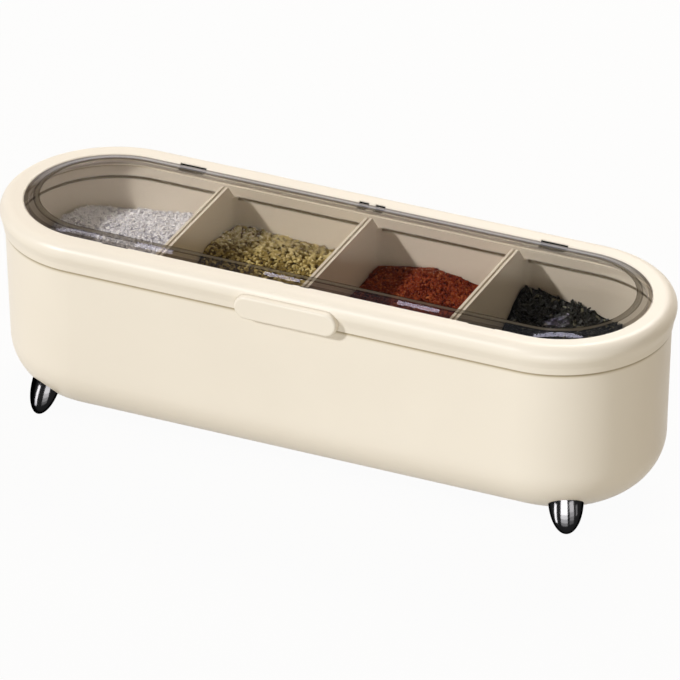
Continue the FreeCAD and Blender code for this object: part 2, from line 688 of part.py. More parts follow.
MIDDLE_WALLS = [HALF_GAP, total(PITCH, less(HALF_GAP), "-cup_wall")]
END_WALLS = [total(PITCH, HALF_GAP)]
CUPS = [
    ("left_end", end_plan, -1, END_WALLS, HALF_LENGTH, "salt", ("end",)),
    ("left_middle", middle_plan, -1, MIDDLE_WALLS, PITCH, "herb", ("inner",)),
    ("right_middle", middle_plan, 1, MIDDLE_WALLS, PITCH, "chili", ("inner", "end")),
    ("right_end", end_plan, 1, END_WALLS, HALF_LENGTH, "pepper", ("end",)),
]
for place, plan, side, walls, outer_wall, content, falls in CUPS:
    parts["cup_" + place] = cup("cup_" + place, plan, side, walls)
    parts[content + "_fill"] = spice(content, plan, side, walls[0], outer_wall, falls)

# Lid frame: ring section, outside first from the lower edge up, then the opening, rib and skirt inside
ROUND_R = total(LID_RADIUS, "-lid_round")
ANGLE = cell("lid_flank_angle")
TURN_R = "(%s + %s * cos(%s))" % (ROUND_R, cell("lid_round"), ANGLE)
TURN_Z = "(%s - %s * sin(%s))" % (WIDEST_Z, cell("lid_round"), ANGLE)
BAND_Z = total(LID_Z, "lid_band")
BAND_R = "(%s - (%s - %s) * tan(%s))" % (TURN_R, TURN_Z, BAND_Z, ANGLE)
FOOT_R = total(BAND_R, "-lid_band_lean")
OVER_RIB_Z = total(WIDEST_Z, "lid_round", "-lid_wall")
lid_ring = stadium("lid_ring", [
    (FOOT_R, LID_Z),
    (BAND_R, BAND_Z),
    (TURN_R, TURN_Z, (cell("lid_round"), 1)),
    (ROUND_R, LID_TOP_Z),
    (total(OPENING_RADIUS, "opening_edge"), LID_TOP_Z, (cell("opening_edge"), 1)),
    (OPENING_RADIUS, total(LID_TOP_Z, "-opening_edge")),
    (OPENING_RADIUS, FRAME_UNDER_Z),
    (RIB_RADIUS, FRAME_UNDER_Z),
    (RIB_RADIUS, RIB_Z),
    (RIB_OUT_RADIUS, RIB_Z),
    (RIB_OUT_RADIUS, OVER_RIB_Z),
    (ROUND_R, OVER_RIB_Z, (total("lid_round", "-lid_wall"), -1)),
    (total(LID_RADIUS, "-lid_wall"), WIDEST_Z),
    (total(BAND_R, "-lid_wall"), BAND_Z),
    (total(FOOT_R, "-lid_wall"), LID_Z),
])
TAB_PLACES = [("long", "long_tab", "long_tab_place"), ("short", "short_tab", "short_tab_place")]
tabs = []
slots = []
for kind, length, place in TAB_PLACES:
    for side, sign in (("right", ""), ("left", "-1 * ")):
        for row, front in (("front", True), ("back", False)):
            name = "%s_%s_%s" % (kind, row, side)
            slot_length = "(%s + 2 * %s)" % (cell(length), cell("tab_gap"))
            middle = "(%s%s)" % (sign, cell(place))
            tab_in = total(WINDOW_RADIUS, less(half("window_thick")))
            tab_out = total(WINDOW_RADIUS, "window_gap", "tab_thick")
            slot_out = total(tab_out, "tab_gap")
            tab_low = total(FRAME_UNDER_Z, less(half("window_thick")))
            tabs.append(block("tab_" + name,
                              (total(middle, less(half(length))),
                               "(-1 * %s)" % tab_out if front else tab_in, tab_low),
                              (cell(length), total(tab_out, less(tab_in)),
                               total(LID_TOP_Z, "-window_sink", less(tab_low)))))
            slots.append(block("slot_" + name,
                               (total(middle, less(half(slot_length))),
                                "(-1 * %s)" % slot_out if front else WINDOW_RADIUS, FRAME_UNDER_Z),
                               (slot_length, total(slot_out, less(WINDOW_RADIUS)), cell("frame_thick"))))

# Handle on the front of the lid, with its seat, the block behind it and its two screws
PILL_ROUND = half("handle_height")
PILL_HALF = total(half("handle_width"), less(PILL_ROUND))


def pill(gap):
    """Upright round-ended outline of the handle, larger by gap all round."""
    radius = total(PILL_ROUND, gap)
    low = total(HANDLE_Z, less(radius))
    high = total(HANDLE_Z, radius)
    tip = total(PILL_HALF, radius)
    left = "(-1 * %s)" % PILL_HALF
    bend = (radius, 1)
    return [(left, low), (PILL_HALF, low, bend), (tip, HANDLE_Z, bend), (PILL_HALF, high),
            (left, high, bend), ("(-1 * %s)" % tip, HANDLE_Z, bend)]


def handle_form(name, gap, length):
    body = add_body(name)
    sketch = add_sketch(body, name + "_pill", "XZ_Plane", move=("0", "0", SEAT_Y))
    draw(sketch, pill(gap))
    return body, add_pad(body, name + "_pad", sketch, length)


HANDLE_DEPTH = total("handle_seat", "handle_reach")
handle_body, handle_pad = handle_form("handle_form", NO_INSET, HANDLE_DEPTH)
face_y = -number(total(LID_RADIUS, "handle_reach"))
face_edges = ["Edge%d" % index for index, edge in enumerate(handle_pad.Shape.Edges, start=1)
              if all(abs(vertex.Y - face_y) < 1e-6 for vertex in edge.Vertexes)]
handle_soft = handle_body.newObject("PartDesign::Fillet", "handle_soft_edge")
handle_soft.Base = (handle_pad, face_edges)
handle_soft.setExpression("Radius", cell("handle_edge"))
handle_seat, _ = handle_form("handle_seat_form", cell("screw_clearance"), HANDLE_DEPTH)

SCREW_Z = total(HANDLE_Z, "handle_screw_rise")
HEAD_Y = total(RIB_RADIUS, "handle_screw_head_thick")
SHANK_END_Y = total(SEAT_Y, "handle_screw_bite")
handle_screws = []
screw_holes = []
head_holes = []
for side, sign in (("right", ""), ("left", "-1 * ")):
    place = "(%s%s)" % (sign, half("handle_screw_pitch"))
    shank = rod("handle_shank_" + side, half("handle_screw_bore"), total(SHANK_END_Y, less(HEAD_Y)),
                (place, less(HEAD_Y), SCREW_Z), "-Y")
    head = rod("handle_head_" + side, half("handle_screw_head"), cell("handle_screw_head_thick"),
               (place, less(RIB_RADIUS), SCREW_Z), "-Y")
    handle_screws.append(fuse("handle_screw_" + side, [shank, head]))
    screw_holes.append(rod("handle_hole_" + side, total(half("handle_screw_bore"), "screw_clearance"),
                           total(SHANK_END_Y, less(HEAD_Y), "screw_clearance"),
                           (place, less(HEAD_Y), SCREW_Z), "-Y"))
    head_holes.append(rod("handle_head_hole_" + side, total(half("handle_screw_head"), "screw_clearance"),
                          cell("handle_screw_head_thick"), (place, less(RIB_RADIUS), SCREW_Z), "-Y"))
BLOCK_LOW_Z = total(RIB_Z, "seal_grip", "seal_clearance")
handle_block = block("handle_block_form",
                     (less(half("handle_block")), less(SEAT_Y), BLOCK_LOW_Z),
                     (cell("handle_block"), total(SEAT_Y, less(RIB_RADIUS), less(half("rib_wall"))),
                      total(OVER_RIB_Z, less(BLOCK_LOW_Z), half("frame_thick"))))
lid_solid = fuse("lid_solid", [lid_ring, handle_block] + lid_knuckles)
parts["lid_frame"] = cut("lid_frame", lid_solid,
                         slots + lid_bores + screw_holes + head_holes + [handle_seat])
parts["lid_handle"] = cut("lid_handle", handle_body, screw_holes)
parts["handle_screws"] = group("handle_screws", handle_screws)

# Window: raised middle, sloping border, and a flange under the frame with snap tabs
EDGE_Z = total(LID_TOP_Z, "-window_sink")
MIDDLE_R = total(WINDOW_RADIUS, "-window_bevel")
MIDDLE_Z = total(EDGE_Z, "window_rise")
FLANGE_R = total(RIB_RADIUS, "-window_gap")
FLANGE_Z = total(FRAME_UNDER_Z, "-window_thick")
INSIDE_R = total(WINDOW_RADIUS, "-window_thick")
window_form = stadium("window_form", [
    ("0", total(MIDDLE_Z, "-window_thick")),
    (MIDDLE_R, total(MIDDLE_Z, "-window_thick")),
    (INSIDE_R, total(EDGE_Z, "-window_thick")),
    (INSIDE_R, FLANGE_Z),
    (FLANGE_R, FLANGE_Z),
    (FLANGE_R, FRAME_UNDER_Z),
    (WINDOW_RADIUS, FRAME_UNDER_Z),
    (WINDOW_RADIUS, EDGE_Z),
    (MIDDLE_R, MIDDLE_Z),
    ("0", MIDDLE_Z),
])
parts["lid_window"] = fuse("lid_window", [window_form] + tabs)

# Seal: a channel pushed on the rib
SEAL_Z = total(RIM_Z, "seal_clearance")
GRIP_Z = total(RIB_Z, "seal_grip")
parts["lid_seal"] = stadium("lid_seal", [
    (total(RIB_RADIUS, "-seal_lip"), SEAL_Z),
    (total(RIB_OUT_RADIUS, "seal_lip"), SEAL_Z),
    (total(RIB_OUT_RADIUS, "seal_lip"), GRIP_Z),
    (RIB_OUT_RADIUS, GRIP_Z),
    (RIB_OUT_RADIUS, RIB_Z),
    (RIB_RADIUS, RIB_Z),
    (RIB_RADIUS, GRIP_Z),
    (total(RIB_RADIUS, "-seal_lip"), GRIP_Z),
])

doc.recompute()
failed = [item.Name for item in doc.Objects if "Invalid" in item.State or "Error" in item.State]
if failed:
    raise RuntimeError("these did not build: " + ", ".join(failed))
os.makedirs("parts", exist_ok=True)
for name, part in parts.items():
    part.Label = name
    if part.Shape.isNull() or not part.Shape.isValid() or not part.Shape.Solids:
        raise RuntimeError(name + " has no valid solid")
    print("%-18s solids %d  volume %.1f" % (name, len(part.Shape.Solids), part.Shape.Volume))
for name, part in parts.items():
    part.Shape.exportStep("parts/%s.step" % name)
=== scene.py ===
"""Looks of the spice box: materials, heaps of spice, floor, lights and camera."""
import math
import random

import bpy
from mathutils import Euler, Matrix, Vector, noise


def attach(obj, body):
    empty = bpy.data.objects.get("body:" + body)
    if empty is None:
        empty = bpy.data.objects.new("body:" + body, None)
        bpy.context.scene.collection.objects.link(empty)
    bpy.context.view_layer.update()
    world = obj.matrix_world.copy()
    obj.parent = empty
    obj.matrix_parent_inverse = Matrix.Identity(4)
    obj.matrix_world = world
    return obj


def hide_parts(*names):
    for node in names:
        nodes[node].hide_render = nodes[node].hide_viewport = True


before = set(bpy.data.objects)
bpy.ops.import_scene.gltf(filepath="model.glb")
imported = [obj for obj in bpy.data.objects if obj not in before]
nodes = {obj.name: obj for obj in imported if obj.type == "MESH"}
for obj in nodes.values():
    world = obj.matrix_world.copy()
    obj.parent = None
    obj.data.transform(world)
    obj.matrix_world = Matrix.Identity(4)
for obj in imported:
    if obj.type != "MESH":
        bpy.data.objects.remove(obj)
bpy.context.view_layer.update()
MM = 0.001


# Shader helpers

# Most of what a noise field gives lies between these
NOISE_LOW = 0.3
NOISE_HIGH = 0.7

# Colour sockets of a mix node
MIX_SHARE = 0
MIX_FIRST = 6
MIX_SECOND = 7
MIX_RESULT = 2


def new_material(name):
    material = bpy.data.materials.new(name)
    material.use_nodes = True
    material.node_tree.nodes.clear()
    return material


def add_node(tree, kind, **values):
    """Node with its input sockets set by name; underscores stand for spaces."""
    node = tree.nodes.new(kind)
    for name, value in values.items():
        node.inputs[name.replace("_", " ")].default_value = value
    return node


def finish_surface(tree, shader):
    output = tree.nodes.new("ShaderNodeOutputMaterial")
    tree.links.new(shader, output.inputs["Surface"])


def noise_field(tree, scale, detail=2.0, stretch=(1.0, 1.0, 1.0)):
    place = tree.nodes.new("ShaderNodeTexCoord")
    mapping = add_node(tree, "ShaderNodeMapping", Scale=stretch)
    field = add_node(tree, "ShaderNodeTexNoise", Scale=scale, Detail=detail)
    tree.links.new(place.outputs["Object"], mapping.inputs["Vector"])
    tree.links.new(mapping.outputs["Vector"], field.inputs["Vector"])
    return field.outputs["Fac"]


def ramp(tree, value, stops):
    """Colour ramp of (position, colour) stops driven by a value."""
    node = tree.nodes.new("ShaderNodeValToRGB")
    tree.links.new(value, node.inputs["Fac"])
    elements = node.color_ramp.elements
    while len(elements) < len(stops):
        elements.new(0.5)
    for element, (position, colour) in zip(elements, stops):
        element.position = position
        element.color = (*colour, 1.0)
    return node.outputs["Color"]


def spread(tree, value, low, high):
    """A noise field's value, spread from low to high."""
    node = add_node(tree, "ShaderNodeMapRange", From_Min=NOISE_LOW, From_Max=NOISE_HIGH,
                    To_Min=low, To_Max=high)
    tree.links.new(value, node.inputs["Value"])
    return node.outputs["Result"]


def bump(tree, shader, height, depth, strength):
    node = add_node(tree, "ShaderNodeBump", Strength=strength, Distance=depth)
    tree.links.new(height, node.inputs["Height"])
    tree.links.new(node.outputs["Normal"], shader.inputs["Normal"])


def math_node(tree, operation, first, second):
    """Math node of a socket or number with another."""
    node = tree.nodes.new("ShaderNodeMath")
    node.operation = operation
    for socket, value in zip(node.inputs, (first, second)):
        if isinstance(value, (int, float)):
            socket.default_value = value
        else:
            tree.links.new(value, socket)
    return node.outputs["Value"]


def multiply(tree, first, second):
    """Product of two colours."""
    node = tree.nodes.new("ShaderNodeMix")
    node.data_type = "RGBA"
    node.blend_type = "MULTIPLY"
    node.inputs[MIX_SHARE].default_value = 1.0
    tree.links.new(first, node.inputs[MIX_FIRST])
    tree.links.new(second, node.inputs[MIX_SECOND])
    return node.outputs[MIX_RESULT]


def mix_shaders(tree, share, first, second):
    mix = tree.nodes.new("ShaderNodeMixShader")
    tree.links.new(share, mix.inputs[0])
    tree.links.new(first, mix.inputs[1])
    tree.links.new(second, mix.inputs[2])
    return mix.outputs["Shader"]


def place_mm(tree):
    """Where a point of a piece lies, along X, Y and Z in millimetres."""
    place = tree.nodes.new("ShaderNodeTexCoord")
    parts = tree.nodes.new("ShaderNodeSeparateXYZ")
    tree.links.new(place.outputs["Object"], parts.inputs["Vector"])
    return [math_node(tree, "MULTIPLY", parts.outputs[axis], 1.0 / MM) for axis in "XYZ"]


# Painted shadow lines of the shell's seam and the cups' upper edge, in millimetres
SEAM_Z = 82.4
SEAM_FADE = 2.0
SHELL_RADIUS = 49.0
WALL_BAND = 0.3
RIM_EDGE = 0.02
SEAM_PAINTED_SHADOW = [(0.0, (1.0, 1.0, 1.0)), (0.45, (0.80, 0.77, 0.70)), (0.62, (0.50, 0.45, 0.35)),
              (1.0, (0.46, 0.41, 0.32))]
CUP_LINE_LOW = 81.0
CUP_LINE_FADE = 0.5
CUP_LINE_TOP = 83.3
CUP_LINE_START = 43.4
CUP_RIM_PAINTED_SHADOW = [(0.0, (1.0, 1.0, 1.0)), (1.0, (0.22, 0.19, 0.14))]


def painted_seam_shadow(tree):
    """Painted shadow of the lid's edge: 1 on the open wall, and darker in the last of it under the lid's
    edge.
    """
    x, y, height = place_mm(tree)
    share = math_node(tree, "DIVIDE", math_node(tree, "SUBTRACT", height, SEAM_Z - SEAM_FADE), SEAM_FADE)
    under = math_node(tree, "LESS_THAN", height, SEAM_Z - RIM_EDGE)
    off_wall = math_node(tree, "SUBTRACT", middle_distance(tree, x, y), SHELL_RADIUS)
    on_wall = math_node(tree, "LESS_THAN", math_node(tree, "ABSOLUTE", off_wall, 0.0), WALL_BAND)
    share = math_node(tree, "MULTIPLY", math_node(tree, "MULTIPLY", share, under), on_wall)
    return ramp(tree, share, SEAM_PAINTED_SHADOW)


def painted_cup_rim_shadow(tree):
    """Painted shadow of the rim: 1 in a cup, and dark along the upper edge of its outer wall, where the rim
    begins.
    """
    x, y, height = place_mm(tree)
    risen = math_node(tree, "DIVIDE", math_node(tree, "SUBTRACT", height, CUP_LINE_LOW), CUP_LINE_FADE)
    under = math_node(tree, "LESS_THAN", height, CUP_LINE_TOP)
    outer = math_node(tree, "GREATER_THAN", middle_distance(tree, x, y), CUP_LINE_START)
    share = math_node(tree, "MULTIPLY", math_node(tree, "MULTIPLY", risen, under), outer)
    return ramp(tree, share, CUP_RIM_PAINTED_SHADOW)


PLASTIC_IOR = 1.48
CLOUD_SCALE = 14.0
GLOSS_SCALE = 60.0
GRAIN_SCALE = 1600.0
GRAIN_DEPTH = 0.04 * MM
GRAIN_STRENGTH = 0.25


def moulded_plastic(name, dark, light, smooth, rough, grain=GRAIN_SCALE, depth=GRAIN_DEPTH, shade=None):
    """Satin plastic: a faint cloud of colour, uneven gloss, a fine moulded grain and any painted shade."""
    material = new_material(name)
    tree = material.node_tree
    shader = add_node(tree, "ShaderNodeBsdfPrincipled", IOR=PLASTIC_IOR)
    cloud = noise_field(tree, CLOUD_SCALE, detail=3.0)
    colour = ramp(tree, cloud, [(NOISE_LOW, dark), (NOISE_HIGH, light)])
    # Painted shade, where a material has it
    if shade is not None:
        colour = multiply(tree, colour, shade(tree))
    tree.links.new(colour, shader.inputs["Base Color"])
    gloss = spread(tree, noise_field(tree, GLOSS_SCALE, detail=4.0), smooth, rough)
    tree.links.new(gloss, shader.inputs["Roughness"])
    bump(tree, shader, noise_field(tree, grain), depth, GRAIN_STRENGTH)
    finish_surface(tree, shader.outputs["BSDF"])
    return material


def metal(name, dark, light, smooth, rough, edge, stretch=(1.0, 1.0, 1.0), scale=120.0):
    """Polished or brushed metal; edge is how much it brightens where it is seen at a slant."""
    material = new_material(name)
    tree = material.node_tree
    shader = add_node(tree, "ShaderNodeBsdfPrincipled", Metallic=1.0, Specular_Tint=(*edge, 1.0))
    field = noise_field(tree, scale, detail=3.0, stretch=stretch)
    tree.links.new(ramp(tree, field, [(NOISE_LOW, dark), (NOISE_HIGH, light)]), shader.inputs["Base Color"])
    tree.links.new(spread(tree, field, smooth, rough), shader.inputs["Roughness"])
    finish_surface(tree, shader.outputs["BSDF"])
    return material


# Window: its tint with painted shade lines, haze and gloss by the distance from the middle line of the box,
# in millimetres
GLOSS_BY_SLANT = [(0.0, (0.001,) * 3), (0.6, (0.002,) * 3), (0.8, (0.04,) * 3), (1.0, (0.7,) * 3)]
GLOSS_TINT = (0.9, 0.9, 1.0, 1.0)
SMEAR_SCALE = 40.0
BORDER_GLOSS = 8.0
BORDER_START = 35.3
END_X = 108.8
CLEAR = (0.870, 0.862, 0.852)
# Painted shade: the sloped border, the lines where it bends and the line by the rim are darker than the
# clear tint
SLOPED_PAINTED_SHADE = (0.66, 0.64, 0.60)
BEND_PAINTED_SHADE = (0.30, 0.275, 0.24)
RIM_PAINTED_SHADE = (0.42, 0.39, 0.35)
TINT_AND_PAINTED_SHADE_BANDS = [(33.1, CLEAR), (33.3, BEND_PAINTED_SHADE), (33.6, BEND_PAINTED_SHADE), (33.8, SLOPED_PAINTED_SHADE), (35.2, SLOPED_PAINTED_SHADE),
              (35.4, BEND_PAINTED_SHADE), (36.0, BEND_PAINTED_SHADE), (36.2, SLOPED_PAINTED_SHADE), (38.3, SLOPED_PAINTED_SHADE), (38.6, RIM_PAINTED_SHADE),
              (40.0, RIM_PAINTED_SHADE), (40.3, SLOPED_PAINTED_SHADE)]
HAZE_BANDS = [(33.6, (0.0,) * 3), (33.8, (0.6,) * 3), (35.1, (0.6,) * 3), (35.3, (0.0,) * 3)]
HAZE = (0.24, 0.215, 0.175, 1.0)
UPPER_Z = 95.35
# The tops of the snap tabs, where they stand in the frame's slots, are painted near black as the slots'
# shade
TAB_START = 40.26
TAB_LOW = 94.5
TAB_SLOT_PAINTED_SHADE = (0.008, 0.007, 0.006, 1.0)
# Painted shade on the flange under each snap tab
HOOKS = [(-90.3, 6.3), (-5.8, 2.2), (2.2, 2.2), (86.7, 6.3)]
HOOK_TOP = 92.0
HOOK_START = 40.0
HOOK_PAINTED_SHADE = (0.30, 0.285, 0.265)


def bands(tree, radius, stops):
    """Colour ramp over the distance from the middle line of the box."""
    scale = stops[-1][0]
    shares = [(distance / scale, colour) for distance, colour in stops]
    return ramp(tree, math_node(tree, "DIVIDE", radius, scale), shares)


def middle_distance(tree, x, y):
    """Distance from the middle line of the box, round both ends."""
    beyond = math_node(tree, "SUBTRACT", math_node(tree, "ABSOLUTE", x, 0.0), END_X)
    beyond = math_node(tree, "MAXIMUM", beyond, 0.0)
    lengthwise = math_node(tree, "MULTIPLY", beyond, beyond)
    crosswise = math_node(tree, "MULTIPLY", y, y)
    return math_node(tree, "SQRT", math_node(tree, "ADD", lengthwise, crosswise), 0.0)


def painted_hook_shade(tree, x, radius, height):
    """Painted shade on the underside of the flange below each snap tab, 1 elsewhere."""
    near = 0.0
    for middle, reach in HOOKS:
        away = math_node(tree, "ABSOLUTE", math_node(tree, "SUBTRACT", x, middle), 0.0)
        near = math_node(tree, "MAXIMUM", near, math_node(tree, "LESS_THAN", away, reach))
    low = math_node(tree, "MULTIPLY", math_node(tree, "LESS_THAN", height, HOOK_TOP),
                    math_node(tree, "GREATER_THAN", radius, HOOK_START))
    return ramp(tree, math_node(tree, "MULTIPLY", near, low), [(0.0, (1.0,) * 3), (1.0, HOOK_PAINTED_SHADE)])


def clear_plastic(name, smooth, rough):
    """Thin smoky plastic: tinted, with painted shade lines where its border bends, a weak gloss, painted
    shade under the snap tabs and snap tabs painted dark as the shade of their slots.
    """
    material = new_material(name)
    tree = material.node_tree
    x, y, height = place_mm(tree)
    path = tree.nodes.new("ShaderNodeLightPath")
    seen = math_node(tree, "SUBTRACT", 1.0, path.outputs["Is Shadow Ray"])
    radius = math_node(tree, "MULTIPLY", middle_distance(tree, x, y), seen)
    upper = math_node(tree, "GREATER_THAN", height, UPPER_Z)
    # Clear tint with painted shade lines on the upper face, and painted shade under the tabs
    tint_and_shade = bands(tree, math_node(tree, "MULTIPLY", radius, upper), TINT_AND_PAINTED_SHADE_BANDS)
    tint_and_shade = multiply(tree, tint_and_shade, painted_hook_shade(tree, x, radius, height))
    see = tree.nodes.new("ShaderNodeBsdfTransparent")
    tree.links.new(tint_and_shade, see.inputs["Color"])
    gloss = add_node(tree, "ShaderNodeBsdfGlossy", Color=GLOSS_TINT)
    smear = spread(tree, noise_field(tree, SMEAR_SCALE, detail=4.0), smooth, rough)
    tree.links.new(smear, gloss.inputs["Roughness"])
    face = tree.nodes.new("ShaderNodeNewGeometry")
    tree.links.new(face.outputs["True Normal"], gloss.inputs["Normal"])
    slant = add_node(tree, "ShaderNodeLayerWeight", Blend=0.5)
    on_border = math_node(tree, "GREATER_THAN", radius, BORDER_START)
    gain = math_node(tree, "ADD", math_node(tree, "MULTIPLY", on_border, BORDER_GLOSS - 1.0), 1.0)
    weight = math_node(tree, "MULTIPLY", ramp(tree, slant.outputs["Facing"], GLOSS_BY_SLANT), gain)
    weight = math_node(tree, "MINIMUM", weight, 1.0)
    clear = mix_shaders(tree, weight, see.outputs["BSDF"], gloss.outputs["BSDF"])
    haze = add_node(tree, "ShaderNodeBsdfDiffuse", Color=HAZE)
    hazy = math_node(tree, "MULTIPLY", upper, bands(tree, radius, HAZE_BANDS))
    clear = mix_shaders(tree, hazy, clear, haze.outputs["BSDF"])
    # Snap tabs painted near black as the shade of their slots
    dark = add_node(tree, "ShaderNodeBsdfDiffuse", Color=TAB_SLOT_PAINTED_SHADE)
    outside = math_node(tree, "GREATER_THAN", radius, TAB_START)
    tab = math_node(tree, "MULTIPLY", outside, math_node(tree, "GREATER_THAN", height, TAB_LOW))
    finish_surface(tree, mix_shaders(tree, tab, clear, dark.outputs["BSDF"]))
    return material


MOTTLE_SCALE = 1400.0
MOTTLE_DEPTH = 0.2 * MM


def grains(name, stops, roughness, shine):
    """Loose pieces, each with its own shade and an uneven surface."""
    material = new_material(name)
    tree = material.node_tree
    shader = add_node(tree, "ShaderNodeBsdfPrincipled", Roughness=roughness, Specular_IOR_Level=shine)
    island = tree.nodes.new("ShaderNodeNewGeometry")
    colour = ramp(tree, island.outputs["Random Per Island"], stops)
    tree.links.new(colour, shader.inputs["Base Color"])
    bump(tree, shader, noise_field(tree, MOTTLE_SCALE), MOTTLE_DEPTH, strength=0.5)
    finish_surface(tree, shader.outputs["BSDF"])
    return material


CREAM_DARK = (0.845, 0.777, 0.668)
CREAM_LIGHT = (0.875, 0.807, 0.698)
# The shell's material holds a painted shadow under the lid's edge
SHELL = moulded_plastic("cream_shell", CREAM_DARK, CREAM_LIGHT, smooth=0.34, rough=0.42, shade=painted_seam_shadow)
CREAM = moulded_plastic("cream_plastic", CREAM_DARK, CREAM_LIGHT, smooth=0.34, rough=0.42)
# The cups' material holds a painted shadow along their rim
CUP = moulded_plastic("cup_plastic", (0.79, 0.715, 0.60), (0.82, 0.745, 0.63), smooth=0.38, rough=0.48,
                      shade=painted_cup_rim_shadow)
SEAL = moulded_plastic("seal_rubber", (0.80, 0.73, 0.62), (0.85, 0.78, 0.67), smooth=0.55, rough=0.7,
                       grain=2200.0, depth=0.08 * MM)
# The window's material holds painted shade lines, painted shade under the snap tabs and tabs painted dark
WINDOW = clear_plastic("smoky_window", smooth=0.03, rough=0.05)
CHROME = metal("dark_chrome", (0.0115, 0.0115, 0.012), (0.015, 0.0148, 0.0152), smooth=0.12, rough=0.16,
               edge=(0.04, 0.04, 0.04))
STEEL = metal("plain_steel", (0.42, 0.42, 0.43), (0.58, 0.58, 0.59), smooth=0.28, rough=0.42,
              edge=(1.0, 1.0, 1.0), stretch=(0.1, 1.0, 1.0), scale=900.0)

NODE_MATERIALS = {
    "shell": SHELL, "lid_frame": CREAM, "lid_handle": CREAM, "lid_window": WINDOW, "lid_seal": SEAL,
    "foot_screws": STEEL, "handle_screws": STEEL, "hinge_pin_left": STEEL, "hinge_pin_right": STEEL,
}
for corner in ("front_left", "front_right", "back_left", "back_right"):
    NODE_MATERIALS["foot_" + corner] = CHROME
for place in ("left_end", "left_middle", "right_middle", "right_end"):
    NODE_MATERIALS["cup_" + place] = CUP
for name, material in NODE_MATERIALS.items():
    mesh = nodes[name].data
    mesh.materials.clear()
    mesh.materials.append(material)


# Heaps of spice, in millimetres: the cups' walls and floors, and the top of the solids that the heaps cover

WALL_Y = 43.8
CORNER = 3.6
FLOOR_Z = 26.8
FULL_Z = 33.6
FILL_Z = 64.6
BACK_Y = 44.0
FLOOR_SHRINK = 0.86

# Waves and ripples of a heap's top: how many to a millimetre, and a ripple's share and place in the noise
WAVE_SCALE = 0.09
RIPPLE_SCALE = 0.25
RIPPLE_SHARE = 0.5
RIPPLE_SHIFT = 7.0


class Cup:
    """Inside of a cup: where it starts and stops along X, and how far it reaches either side.  The side is
    -1 left of the middle of the box and 1 right of it."""

    def __init__(self, start, stop, side, round_end):
        self.start = start
        self.stop = stop
        self.side = side
        self.round_end = round_end

    def reach(self, x):
        outwards = x * self.side
        low, high = sorted((self.start * self.side, self.stop * self.side))
        if self.round_end and outwards > END_X:
            return math.sqrt(max(WALL_Y ** 2 - (outwards - END_X) ** 2, 0.0))
        edge = outwards - low if self.round_end else min(outwards - low, high - outwards)
        if edge >= CORNER:
            return WALL_Y
        return WALL_Y - CORNER + math.sqrt(max(CORNER ** 2 - (CORNER - max(edge, 0.0)) ** 2, 0.0))

    def holds(self, x, y):
        return self.start < x < self.stop and abs(y) < self.reach(x)


def fall(distance, run, drop):
    """How far a slope has fallen, from nothing at its crest to all of its drop at its foot."""
    return drop * min(max(1.0 - distance / run, 0.0), 1.0)


def along(profile, x):
    """Height between the named places of a profile."""
    for (x0, z0), (x1, z1) in zip(profile, profile[1:]):
        if x <= x1:
            return z0 + (z1 - z0) * max(x - x0, 0.0) / (x1 - x0)
    return profile[-1][1]


class Heap:
    """Height of a heap: the slopes of its solid, and the height at which it lies against the back wall."""

    def __init__(self, slopes, crest, front_run, front_drop, back, rise, bumps, ripple, seed):
        self.slopes = slopes
        self.crest = BACK_Y - crest
        self.front_run = front_run
        self.front_drop = front_drop
        self.back = back
        self.rise = rise
        self.bumps = bumps
        self.ripple = ripple
        self.seed = seed

    def height(self, x, y):
        falls = [fall(abs(x - wall), run, drop) for wall, run, drop in self.slopes]
        falls.append(self.front_drop * min(max((self.crest - y) / self.front_run, 0.0), 1.0))
        front = FILL_Z - max(falls)
        low, high = self.rise
        share = min(max((y - low) / (high - low), 0.0), 1.0)
        share = share * share * (3.0 - 2.0 * share)
        z = front + (along(self.back, x) - front) * share
        for px, py, extra, reach in self.bumps:
            z += extra * math.exp(-((x - px) ** 2 + (y - py) ** 2) / reach ** 2)
        wave = noise.noise(Vector((x * WAVE_SCALE, y * WAVE_SCALE, self.seed)))
        ripple_place = Vector((x * RIPPLE_SCALE, y * RIPPLE_SCALE, self.seed + RIPPLE_SHIFT))
        wave += RIPPLE_SHARE * noise.noise(ripple_place)
        return z + self.ripple * wave


def heap_surface(cup, height, columns=46, rows=56):
    """Closed form of a heap: its top, its sides down the cup's walls and its bottom."""
    vertices = []
    faces = []
    for i in range(columns + 1):
        x = cup.start + (cup.stop - cup.start) * (0.5 - 0.5 * math.cos(math.pi * i / columns))
        reach = cup.reach(x)
        for j in range(rows + 1):
            y = reach * (2.0 * j / rows - 1.0)
            vertices.append((x, y, height(x, y)))

    def index(i, j):
        return i * (rows + 1) + j

    for i in range(columns):
        for j in range(rows):
            faces.append((index(i, j), index(i + 1, j), index(i + 1, j + 1), index(i, j + 1)))
    rim = [index(i, 0) for i in range(columns + 1)]
    rim += [index(columns, j) for j in range(1, rows + 1)]
    rim += [index(i, rows) for i in range(columns - 1, -1, -1)]
    rim += [index(0, j) for j in range(rows - 1, 0, -1)]
    middle = 0.5 * (cup.start + cup.stop)
    for shrink, z in ((1.0, FULL_Z), (FLOOR_SHRINK, FLOOR_Z)):
        lower = []
        for k in rim:
            x, y, _ = vertices[k]
            lower.append(len(vertices))
            vertices.append((middle + (x - middle) * shrink, y * shrink, z))
        count = len(rim)
        for k in range(count):
            faces.append((rim[(k + 1) % count], rim[k], lower[k], lower[(k + 1) % count]))
        rim = lower
    faces.append(tuple(reversed(rim)))
    return vertices, faces


